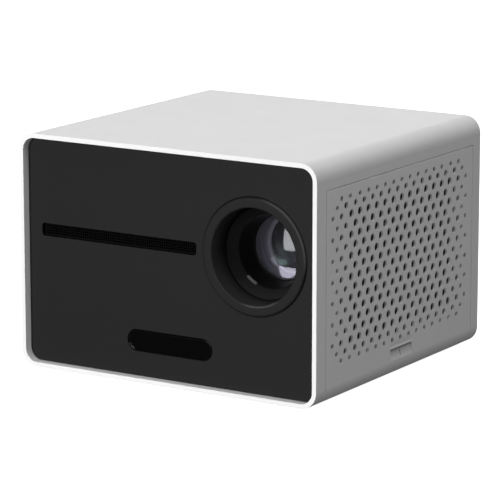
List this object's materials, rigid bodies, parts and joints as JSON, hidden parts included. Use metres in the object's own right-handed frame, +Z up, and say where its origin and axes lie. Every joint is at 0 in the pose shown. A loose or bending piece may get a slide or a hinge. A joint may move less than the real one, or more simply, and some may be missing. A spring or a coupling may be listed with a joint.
{
  "type": "home projector",
  "caption": "Box-shaped home projector with a recessed black front, deep motor-focused lens, sound slot, perforated sides and a tilt-out filter cover.",
  "frame": {"origin": "middle of the plane that the feet stand on, under the middle of the body", "axes": "+Z up, -Y out of the lens towards the screen, +X towards the filter cover"},
  "size_m": [0.203, 0.192, 0.1425],
  "materials": {
    "white_shell": "fine satin moulding",
    "white_side_panel": "fine satin moulding",
    "black_front": "fine matt moulding",
    "black_rear": "fine spark-eroded texture",
    "lens_trim": "satin, turned rings",
    "speaker_mesh": "black painted mesh",
    "gloss_black": "piano gloss",
    "barrel_black": "anti-reflection black",
    "coated_glass": "polished, violet-green coating",
    "filter_foam": "open-cell foam",
    "inner_black": "moulded, unpainted",
    "foot_rubber": "matt rubber",
    "brass_insert": "turned brass",
    "zinc_screw": "zinc-plated",
    "front_mirror": "front-silvered",
    "lcd_glass": "polarised glass",
    "ribbon_film": "polyimide film",
    "lens_sheet": "clear acrylic",
    "led_copper": "copper core board",
    "sink_aluminium": "extruded",
    "fan_black": "moulded",
    "gear_white": "acetal",
    "steel_part": "bright steel",
    "circuit_green": "solder mask",
    "circuit_brown": "paper laminate",
    "speaker_cone": "treated paper",
    "button_grey": "satin",
    "inlet_black": "moulded"
  },
  "bodies": {
    "housing": {"sleeve": "white_shell", "front_panel": "black_front", "lens_ring": "lens_trim", "slot_mesh": "speaker_mesh", "pill_plate": "gloss_black", "rear_panel": "black_rear", "intake_guard": "inner_black", "exhaust_grille": "white_side_panel", "base_tray": "inner_black", "rubber_feet": "foot_rubber", "tripod_bush": "brass_insert", "tray_screws": "zinc_screw", "panel_screws": "zinc_screw", "engine_box": "inner_black", "engine_lid": "inner_black", "lid_screws": "zinc_screw", "fold_mirror": "front_mirror", "lcd_panel": "lcd_glass", "lcd_ribbon": "ribbon_film", "front_fresnel": "lens_sheet", "rear_fresnel": "lens_sheet", "heat_glass": "lens_sheet", "condenser_lens": "coated_glass", "led_board": "led_copper", "led_heat_sink": "sink_aluminium", "exhaust_fan_frame": "fan_black", "fan_screws": "zinc_screw", "lcd_fan_frame": "fan_black", "lens_holder": "inner_black", "retaining_clip": "steel_part", "focus_motor": "steel_part", "main_board": "circuit_green", "processor_heat_sink": "sink_aluminium", "board_screws": "zinc_screw", "hdmi_sockets": "steel_part", "usb_sockets": "steel_part", "audio_jack": "inlet_black", "power_board": "circuit_brown", "power_inlet": "inlet_black", "inlet_pins": "steel_part", "button_board": "circuit_green", "speaker_box": "inner_black", "speaker_baskets": "steel_part", "speaker_cones": "speaker_cone"},
    "filter_door": {"filter_cover": "white_side_panel", "filter_frame": "inner_black", "filter_foam": "filter_foam"},
    "cam": {"cam_ring": "gear_white"},
    "barrel": {"lens_barrel": "barrel_black", "cam_pins": "steel_part", "front_glass": "coated_glass", "middle_glass": "coated_glass", "rear_glass": "coated_glass", "glass_spacers": "barrel_black", "glass_retainer": "barrel_black"},
    "pinion": {"focus_pinion": "gear_white", "motor_shaft": "steel_part"},
    "exhaust_rotor": {"exhaust_fan_rotor": "fan_black"},
    "lcd_rotor": {"lcd_fan_rotor": "fan_black"},
    "button": {"power_button": "button_grey"}
  },
  "joints": [
    {"name": "filter_cover_tilt", "type": "hinge", "parent": "housing", "child": "filter_door", "pos_m": [0.1002, 0, 0.122], "axis": [0, -1, 0], "range_deg": [0, 30]},
    {"name": "focus_turn", "type": "hinge", "parent": "housing", "child": "cam", "pos_m": [0.0577, 0, 0.0849], "axis": [0, 1, 0], "range_deg": [-52, 52]},
    {"name": "lens_travel", "type": "slide", "parent": "housing", "child": "barrel", "axis": [0, 1, 0], "range_m": [-0.005, 0.005]},
    {"name": "pinion_spin", "type": "hinge", "parent": "housing", "child": "pinion", "pos_m": [0.03012, 0, 0.05732], "axis": [0, 1, 0], "range_deg": [-300, 300]},
    {"name": "exhaust_fan_spin", "type": "hinge", "parent": "housing", "child": "exhaust_rotor", "pos_m": [0, 0.045, 0.0849], "axis": [1, 0, 0], "continuous": true},
    {"name": "lcd_fan_spin", "type": "hinge", "parent": "housing", "child": "lcd_rotor", "pos_m": [-0.0081, 0.041, 0], "axis": [0, 0, 1], "continuous": true},
    {"name": "power_button_press", "type": "slide", "parent": "housing", "child": "button", "axis": [0, -1, 0], "range_m": [0, 0.0008], "stiffness_N_per_m": 800, "springref_m": -0.0008}
  ],
  "couplings": [
    {"joint": "focus_turn", "follows": "lens_travel", "rad_per_m": 176.71},
    {"joint": "pinion_spin", "follows": "lens_travel", "rad_per_m": -807.84}
  ]
}
